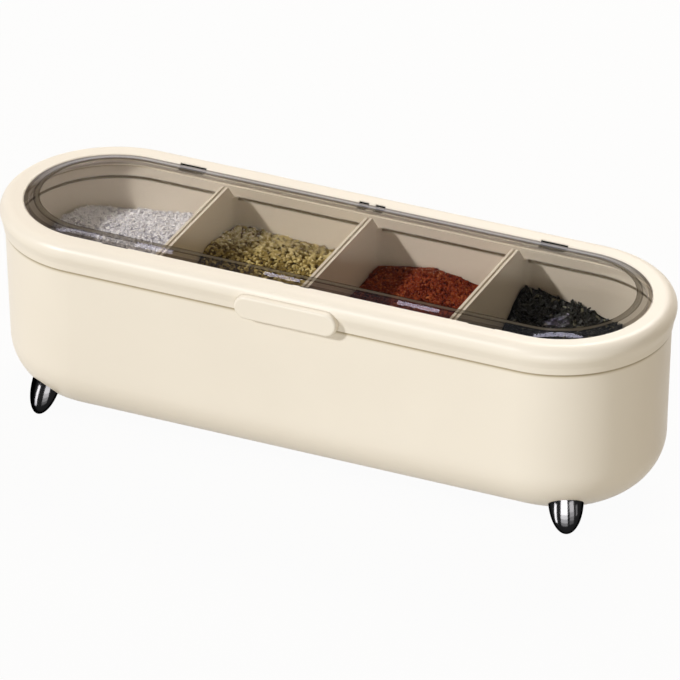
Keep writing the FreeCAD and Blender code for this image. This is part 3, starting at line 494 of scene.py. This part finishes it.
def box_grain(rng, long, wide, thick, taper, rough):
    """Six-sided grain with uneven corners, narrower towards its ends by taper."""
    corners = []
    for sx in (-1, 1):
        for sy in (-1, 1):
            for sz in (-1, 1):
                pinch = 1.0 - taper * rng.random()
                corners.append(Vector((sx * long * (1 + rough * rng.uniform(-1, 1)),
                                       sy * wide * pinch * (1 + rough * rng.uniform(-1, 1)),
                                       sz * thick * pinch * (1 + rough * rng.uniform(-1, 1)))) * 0.5)
    sides = [(0, 1, 3, 2), (4, 6, 7, 5), (0, 4, 5, 1), (2, 3, 7, 6), (0, 2, 6, 4), (1, 5, 7, 3)]
    return corners, sides


def seed_grain(rng, long, wide, thick, taper, rough):
    """Plump grain: two rings of five between pointed ends."""
    ring = 5
    ring_place = 0.22
    turn = rng.random() * math.tau
    corners = [Vector((-0.5 * long, 0.0, 0.0))]
    for part in (-ring_place, ring_place):
        for k in range(ring):
            angle = turn + math.tau * k / ring
            size = 1 + rough * rng.uniform(-1, 1)
            corners.append(Vector((part * long * (1 + rough * rng.uniform(-1, 1)),
                                   0.5 * wide * size * math.cos(angle),
                                   0.5 * thick * size * math.sin(angle))))
    corners.append(Vector((0.5 * long * (1 - taper * rng.random()), 0.0, 0.0)))
    sides = []
    for k in range(ring):
        after = (k + 1) % ring
        sides.append((0, 1 + after, 1 + k))
        sides.append((1 + k, 1 + after, 1 + ring + after, 1 + ring + k))
        sides.append((1 + ring + k, 1 + ring + after, 1 + 2 * ring))
    return corners, sides


SMALLEST_GRAIN = 0.7
LARGEST_GRAIN = 1.3


def scatter(cup, height, rng, count, grain, long, wide, thick, taper, rough, tilt, sink):
    """Grains laid over a heap, turned at random, each wholly inside the cup."""
    vertices = []
    faces = []
    low, high = sorted((cup.start, cup.stop))
    placed = 0
    while placed < count:
        x = rng.uniform(low, high)
        y = rng.uniform(-WALL_Y, WALL_Y)
        if not cup.holds(x, y):
            continue
        size = rng.uniform(SMALLEST_GRAIN, LARGEST_GRAIN)
        corners, sides = grain(rng, long * size, wide * size, thick * size, taper, rough)
        angles = (rng.uniform(-tilt, tilt), rng.uniform(-tilt, tilt), rng.uniform(0, math.tau))
        turn = Euler(angles).to_matrix()
        corners = [turn @ corner for corner in corners]
        if not all(cup.holds(x + corner.x, y + corner.y) for corner in corners):
            continue
        z = height(x, y) + rng.uniform(-sink, 1.0) * 0.5 * wide
        start = len(vertices)
        vertices.extend((x + corner.x, y + corner.y, z + corner.z) for corner in corners)
        faces.extend(tuple(start + k for k in side) for side in sides)
        placed += 1
    return vertices, faces


BED_SCALE = 900.0
BED_DEPTH = 0.5 * MM


def shaded_bed(name, dark, light):
    """What shows between the grains: the same spice, mottled, in darker colours that paint the shade
    between the grains.
    """
    material = new_material(name)
    tree = material.node_tree
    shader = add_node(tree, "ShaderNodeBsdfPrincipled", Roughness=0.9, Specular_IOR_Level=0.1)
    field = noise_field(tree, BED_SCALE, detail=3.0)
    tree.links.new(ramp(tree, field, [(0.35, dark), (0.65, light)]), shader.inputs["Base Color"])
    bump(tree, shader, field, BED_DEPTH, strength=0.6)
    finish_surface(tree, shader.outputs["BSDF"])
    return material


def make_heap(name, node, slot, cup, heap, shaded_bed_colours, stops, roughness, shine, **grain_values):
    """Heap in a cup, with its grains, in place of the solid of a CAD node."""
    vertices, faces = heap_surface(cup, heap.height)
    bed_faces = len(faces)
    more, sides = scatter(cup, heap.height, random.Random(heap.seed), **grain_values)
    start = len(vertices)
    vertices.extend(more)
    faces.extend(tuple(start + k for k in side) for side in sides)
    mesh = bpy.data.meshes.new(name)
    mesh.from_pydata([(x * MM, y * MM, z * MM) for x, y, z in vertices], [], faces)
    mesh.validate()
    mesh.update()
    mesh.materials.append(grains(name + "_grains", stops, roughness, shine))
    # The faces under the grains take the painted shade of the bed
    mesh.materials.append(shaded_bed(name + "_bed", *shaded_bed_colours))
    for face in mesh.polygons[:bed_faces]:
        face.material_index = 1
    piece = bpy.data.objects.new(name, mesh)
    bpy.context.scene.collection.objects.link(piece)
    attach(piece, "base")
    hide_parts(node)
    return piece


SALT_CUP = Cup(start=-152.6, stop=-73.1, side=-1, round_end=True)
HERB_CUP = Cup(start=-69.3, stop=-1.9, side=-1, round_end=False)
CHILI_CUP = Cup(start=1.9, stop=69.3, side=1, round_end=False)
PEPPER_CUP = Cup(start=73.1, stop=152.6, side=1, round_end=True)

END_WALL = 154.0
PITCH = 71.2
HALF_GAP = 0.5

# Slopes of the solids (wall, run, drop), the crest of the slope to the front, the height along the back
# wall, and from where to where a heap rises to it
SALT = Heap(
    slopes=[(-END_WALL, 15.0, 7.0)], crest=46.0, front_run=36.0, front_drop=4.0,
    back=[(-152.0, 60.0), (-147.0, 65.2), (-142.0, 67.2), (-138.0, 68.4), (-134.0, 67.4), (-122.0, 65.4),
          (-105.0, 67.0), (-91.0, 68.7), (-73.0, 68.8)],
    rise=(4.0, 26.0), bumps=[], ripple=0.4, seed=11)
HERB = Heap(
    slopes=[(-HALF_GAP, 16.0, 2.0)], crest=46.0, front_run=36.0, front_drop=3.0,
    back=[(-69.0, 68.4), (-45.5, 67.8), (-24.0, 66.4), (-5.0, 64.1), (-2.0, 63.7)],
    rise=(-8.0, 20.0), bumps=[(-70.0, 14.0, 4.0, 15.0)], ripple=0.7, seed=23)
CHILI = Heap(
    slopes=[(PITCH, 21.0, 3.6), (HALF_GAP, 9.0, 1.4)], crest=46.0, front_run=36.0, front_drop=3.0,
    back=[(2.0, 63.4), (12.0, 65.1), (20.0, 66.4), (28.0, 67.9), (41.6, 65.9), (53.0, 63.9), (69.0, 61.8)],
    rise=(0.0, 30.0), bumps=[], ripple=0.6, seed=37)
PEPPER = Heap(
    slopes=[(END_WALL, 52.0, 8.6)], crest=12.4, front_run=16.0, front_drop=6.0,
    back=[(73.0, 69.2), (77.0, 68.4), (91.0, 66.5), (104.5, 63.9), (112.6, 61.3), (130.0, 58.0),
          (152.0, 56.0)],
    rise=(22.0, 42.0), bumps=[], ripple=0.7, seed=53)

heaps = [
    make_heap(
        "salt_heap", "salt_fill", "salt", SALT_CUP, SALT,
        shaded_bed_colours=((0.38, 0.38, 0.43), (0.60, 0.60, 0.66)),
        stops=[(0.0, (0.52, 0.52, 0.57)), (0.4, (0.76, 0.755, 0.81)), (1.0, (0.89, 0.885, 0.905))],
        roughness=0.3, shine=0.6, count=6200, grain=box_grain,
        long=1.5, wide=1.15, thick=0.95, taper=0.35, rough=0.25, tilt=1.6, sink=0.6),
    make_heap(
        "herb_heap", "herb_fill", "herb", HERB_CUP, HERB,
        shaded_bed_colours=((0.035, 0.022, 0.006), (0.11, 0.07, 0.018)),
        stops=[(0.0, (0.08, 0.050, 0.012)), (0.3, (0.25, 0.180, 0.048)), (0.65, (0.48, 0.375, 0.135)),
               (1.0, (0.69, 0.585, 0.28))],
        roughness=0.6, shine=0.25, count=4600, grain=seed_grain,
        long=2.5, wide=1.4, thick=1.25, taper=0.3, rough=0.25, tilt=1.1, sink=0.6),
    make_heap(
        "chili_heap", "chili_fill", "chili", CHILI_CUP, CHILI,
        shaded_bed_colours=((0.03, 0.003, 0.0015), (0.10, 0.011, 0.005)),
        stops=[(0.0, (0.10, 0.010, 0.004)), (0.45, (0.225, 0.034, 0.011)), (0.9, (0.33, 0.068, 0.020)),
               (1.0, (0.43, 0.13, 0.042))],
        roughness=0.7, shine=0.1, count=9500, grain=box_grain,
        long=1.3, wide=1.05, thick=0.6, taper=0.5, rough=0.35, tilt=1.3, sink=0.7),
    make_heap(
        "pepper_heap", "pepper_fill", "pepper", PEPPER_CUP, PEPPER,
        shaded_bed_colours=((0.003, 0.003, 0.0025), (0.007, 0.007, 0.006)),
        stops=[(0.0, (0.005, 0.005, 0.004)), (0.7, (0.013, 0.014, 0.010)), (0.94, (0.032, 0.034, 0.025)),
               (1.0, (0.26, 0.25, 0.17))],
        roughness=0.45, shine=0.25, count=3000, grain=box_grain,
        long=4.2, wide=1.5, thick=0.8, taper=0.6, rough=0.3, tilt=0.9, sink=0.5),
]


# Floor, lights and camera

def shown_background(tree):
    """1 for the rays that show the background, straight or in metal and glass, and 0 for the others."""
    path = tree.nodes.new("ShaderNodeLightPath")
    shown = path.outputs["Is Camera Ray"]
    for other in ("Is Glossy Ray", "Is Transmission Ray"):
        shown = math_node(tree, "MAXIMUM", shown, path.outputs[other])
    return shown


FLOOR_HALF = 6.0
FLOOR_SHOWN = 0.96
FLOOR_COLOUR = (0.58, 0.52, 0.39, 1.0)
FILL_COLOUR = (1.0, 0.85, 0.66, 1.0)
FILL_STRENGTH = 0.30
WHITE = (1.0, 1.0, 1.0, 1.0)

floor_mesh = bpy.data.meshes.new("floor")
floor_mesh.from_pydata([(-FLOOR_HALF, -FLOOR_HALF, 0), (FLOOR_HALF, -FLOOR_HALF, 0),
                        (FLOOR_HALF, FLOOR_HALF, 0), (-FLOOR_HALF, FLOOR_HALF, 0)], [], [(0, 1, 2, 3)])
floor = bpy.data.objects.new("floor", floor_mesh)
bpy.context.scene.collection.objects.link(floor)
floor_material = new_material("pale_floor")
floor_tree = floor_material.node_tree
matt = add_node(floor_tree, "ShaderNodeBsdfDiffuse", Color=FLOOR_COLOUR)
white = add_node(floor_tree, "ShaderNodeEmission", Color=WHITE, Strength=1.0)
floor_share = math_node(floor_tree, "MULTIPLY", shown_background(floor_tree), FLOOR_SHOWN)
floor_mix = mix_shaders(floor_tree, floor_share, matt.outputs["BSDF"], white.outputs["Emission"])
finish_surface(floor_tree, floor_mix)
floor_mesh.materials.append(floor_material)

world = bpy.data.worlds.new("studio")
bpy.context.scene.world = world
world.use_nodes = True
sky = world.node_tree
sky.nodes.clear()
fill_light = add_node(sky, "ShaderNodeBackground", Color=FILL_COLOUR, Strength=FILL_STRENGTH)
white_sky = add_node(sky, "ShaderNodeBackground", Color=WHITE, Strength=1.0)
sky_mix = mix_shaders(sky, shown_background(sky), fill_light.outputs["Background"],
                      white_sky.outputs["Background"])
sky_output = sky.nodes.new("ShaderNodeOutputWorld")
sky.links.new(sky_mix, sky_output.inputs["Surface"])


def only_for(lamp, pieces):
    """Let a lamp shine on these pieces alone."""
    group = bpy.data.collections.new(lamp.name + "_receivers")
    for piece in pieces:
        group.objects.link(piece)
    lamp.light_linking.receiver_collection = group


SUN_ANGLE = math.radians(5.0)
SUN_WHITE = (1.0, 1.0, 1.0)
SUN_COOL = (0.97, 1.0, 1.04)


def sun(name, from_where, energy, colour, pieces):
    """Far lamp that shines on these pieces alone."""
    light = bpy.data.lights.new(name, "SUN")
    light.energy = energy
    light.color = colour
    light.angle = SUN_ANGLE
    lamp = bpy.data.objects.new(name, light)
    lamp.rotation_euler = Vector(from_where).to_track_quat("Z", "Y").to_euler()
    bpy.context.scene.collection.objects.link(lamp)
    only_for(lamp, pieces)


# The low key lights the outside and the high one all the rest; the inner one adds to it in the cups
HIGH_KEY_FROM = (-0.8, -0.7, 0.97)
LOW_KEY_FROM = (-0.78, -1.0, 0.74)
inside = [nodes[name] for name, material in NODE_MATERIALS.items() if material in (CUP, SEAL)] + heaps
outside = [nodes[name] for name in ("shell", "lid_frame", "lid_handle")]
others = [nodes[name] for name in NODE_MATERIALS if nodes[name] not in outside] + heaps + [floor]
sun("high_key", HIGH_KEY_FROM, energy=0.7, colour=SUN_WHITE, pieces=others)
sun("low_key", LOW_KEY_FROM, energy=1.95, colour=SUN_COOL, pieces=outside)
sun("inner_key", HIGH_KEY_FROM, energy=2.95, colour=SUN_WHITE, pieces=inside)


def panel(name, place, facing, across, width, height, radiance, colour, pieces):
    """Flat lamp for these pieces alone, with its middle at place and its width along across."""
    light = bpy.data.lights.new(name, "AREA")
    light.shape = "RECTANGLE"
    light.size = width
    light.size_y = height
    light.energy = radiance * math.pi * width * height
    light.color = colour
    lamp = bpy.data.objects.new(name, light)
    side = across.cross(-facing)
    lamp.matrix_world = Matrix.Translation(place) @ Matrix((across, -side, -facing)).transposed().to_4x4()
    bpy.context.scene.collection.objects.link(lamp)
    only_for(lamp, pieces)
    return lamp


def glint(*values):
    """Panel that only shows as a glint: nothing shades it, and neither camera nor matt faces see it."""
    lamp = panel(*values)
    lamp.data.use_shadow = False
    lamp.visible_camera = False
    lamp.visible_diffuse = False


UPWARD = Vector((0.0, 0.0, 1.0))
RIGHTWARD = Vector((1.0, 0.0, 0.0))

# Strips of light that the polished feet mirror: azimuth seen from a front foot (0 is the front, growing to
# the right), the mirroring spot of the foot, lower and upper end, width, radiance, and the length over
# which the strip fades below its lower end, in millimetres.  The back feet have the same strips behind.
STRIP_AWAY = 10.0
FOOT_STRIPS = {
    "left": [(-59.0, -128.7, -41.5, 0.6, 15.0, 3.2, 75.0, 0.0),
             (-3.0, -124.0, -41.6, 11.0, 17.0, 9.0, 46.0, 10.0)],
    "right": [(-27.0, 125.2, -41.9, 0.6, 15.0, 3.6, 75.0, 0.0),
              (20.0, 128.5, -40.9, 9.5, 20.0, 8.2, 80.0, 9.0),
              (52.0, 131.4, -39.0, 11.0, 18.0, 5.2, 34.0, 9.0),
              (77.0, 133.2, -37.6, 7.0, 14.0, 2.4, 10.0, 0.0)],
}
FADE_SHARES = (0.62, 0.34, 0.14)
STRIP_COLOUR = (1.0, 0.98, 0.97)


def strip_pieces(low, high, radiance, fade):
    """Lower and upper end and radiance of a strip and of the dimmer pieces below it."""
    pieces = [(low, high, radiance)]
    if fade > 0.0:
        step = fade / len(FADE_SHARES)
        for number, share in enumerate(FADE_SHARES):
            pieces.append((low - (number + 1) * step, low - number * step, share * radiance))
    return pieces


for side, strips in FOOT_STRIPS.items():
    for row, sign in (("front", 1.0), ("back", -1.0)):
        foot = "foot_%s_%s" % (row, side)
        for azimuth, x, y, low, high, width, radiance, fade in strips:
            turn = math.radians(azimuth)
            outward = Vector((math.sin(turn), -sign * math.cos(turn), 0.0))
            across = UPWARD.cross(outward)
            for bottom, top, level in strip_pieces(low, high, radiance, fade):
                spot = Vector((x, sign * y, 0.5 * (bottom + top))) + outward * STRIP_AWAY
                glint(foot + "_strip", spot * MM, -outward, across, width * MM, (top - bottom) * MM,
                      level, STRIP_COLOUR, [nodes[foot]])



def direction(azimuth, rise):
    """Direction from the box, with azimuth growing from the front to the right."""
    return Vector((math.sin(azimuth) * math.cos(rise), -math.cos(azimuth) * math.cos(rise), math.sin(rise)))


def rightward(azimuth):
    """Level direction to the right for one who looks at the box from there."""
    return Vector((math.cos(azimuth), math.sin(azimuth), 0.0))


SOFTBOX_AWAY = 1.2
FRONT_AZIMUTH = math.radians(19.0)
FRONT_RISE = math.radians(4.0)
front_from = direction(FRONT_AZIMUTH, FRONT_RISE)
panel("front_softbox", SOFTBOX_AWAY * front_from, -front_from, rightward(FRONT_AZIMUTH),
      width=0.7, height=0.5, radiance=5.8, colour=(0.92, 0.99, 1.05), pieces=outside)
back_from = Vector((0.0, 0.62, 0.78)).normalized()
panel("back_softbox", SOFTBOX_AWAY * back_from, -back_from, RIGHTWARD,
      width=0.6, height=0.4, radiance=10.5, colour=(1.0, 0.98, 0.96), pieces=outside + [floor])
left_from = Vector((-1.0, -0.1, 0.1)).normalized()
left_across = Vector((0.1, -1.0, 0.0)).normalized()
panel("left_softbox", SOFTBOX_AWAY * left_from, -left_from, left_across,
      width=0.5, height=0.5, radiance=0.9, colour=SUN_WHITE, pieces=outside)
panel("inner_softbox", Vector((0.0, 0.1, SOFTBOX_AWAY)), -UPWARD, RIGHTWARD,
      width=0.6, height=0.4, radiance=3.6, colour=(1.0, 0.98, 0.95), pieces=inside)

CAMERA_AZIMUTH = math.radians(24.42)
CAMERA_ELEVATION = math.radians(29.652)
CAMERA_ROLL = -0.002877
CAMERA_DISTANCE = 3.5341
CAMERA_TARGET = Vector((0.0, 0.0, 0.0427))
to_camera = direction(CAMERA_AZIMUTH, CAMERA_ELEVATION)
level_right = rightward(CAMERA_AZIMUTH)
level_up = to_camera.cross(level_right)
right = math.cos(CAMERA_ROLL) * level_right + math.sin(CAMERA_ROLL) * level_up
up = to_camera.cross(right)

# Small cool lamps that show in the sloping border of the window: place of the glint along the box and from
# its middle line, length, width and radiance, in millimetres
BORDER_GLINTS = [(-110.0, 36.4, 26.0, 2.2, 13.0), (-72.0, 36.4, 18.0, 2.8, 18.0),
                 (-9.0, 37.0, 18.0, 2.2, 22.0), (57.0, 37.0, 20.0, 2.6, 22.0),
                 (122.0, 37.2, 28.0, 2.4, 22.0)]
GLINT_COLOUR = (0.90, 0.88, 1.0)
VEIL_COLOUR = (1.0, 0.9, 0.66)
BORDER_RISE = 1.6
BORDER_WIDTH = 6.6
BORDER_SLOPE = math.atan2(BORDER_RISE, BORDER_WIDTH)
BORDER_OUT = 40.2
BORDER_LOW = 95.4
MIDDLE_TOP = 97.0
GLINT_AWAY = 25.0
window_alone = [nodes["lid_window"]]


def mirrored(normal):
    """Direction in which a face shows its surroundings to the camera."""
    return 2.0 * to_camera.dot(normal) * normal - to_camera


for number, (x, radius, length, width, radiance) in enumerate(BORDER_GLINTS, start=1):
    beyond = x - math.copysign(min(abs(x), END_X), x)
    y = -math.sqrt(radius ** 2 - beyond ** 2)
    outward = Vector((beyond, y, 0.0)).normalized()
    z = BORDER_LOW + (BORDER_OUT - radius) * math.tan(BORDER_SLOPE)
    normal = outward * math.sin(BORDER_SLOPE) + UPWARD * math.cos(BORDER_SLOPE)
    spot = Vector((x, y, z)) + GLINT_AWAY * mirrored(normal)
    glint("border_glint_%d" % number, spot * MM, -normal, UPWARD.cross(outward), length * MM, width * MM,
          radiance, GLINT_COLOUR, window_alone)

# Lamps that show in the flat middle of the window, a broad one over its back part and a small one at the
# right: place, turn, length, width, how far away, radiance and colour
MIDDLE_GLINTS = [(-8.0, 22.0, 10.0, 320.0, 60.0, 150.0, 20.0, VEIL_COLOUR),
                 (117.5, -23.5, 62.0, 13.0, 3.6, 25.0, 45.0, GLINT_COLOUR)]
for number, (x, y, turn, length, width, away, radiance, colour) in enumerate(MIDDLE_GLINTS, start=1):
    spot = Vector((x, y, MIDDLE_TOP)) + away * mirrored(UPWARD)
    across = rightward(math.radians(turn))
    glint("middle_glint_%d" % number, spot * MM, -UPWARD, across, length * MM, width * MM,
          radiance, colour, window_alone)

lens = bpy.data.cameras.new("camera")
lens.sensor_width = 36.0
lens.lens = 418.94
lens.shift_x = 0.00708
lens.shift_y = 0.01216
lens.clip_end = 50.0
camera = bpy.data.objects.new("camera", lens)
camera_place = Matrix.Translation(CAMERA_TARGET + CAMERA_DISTANCE * to_camera)
camera.matrix_world = camera_place @ Matrix((right, up, to_camera)).transposed().to_4x4()
bpy.context.scene.collection.objects.link(camera)
bpy.context.scene.camera = camera
bpy.context.scene.view_settings.view_transform = "Standard"
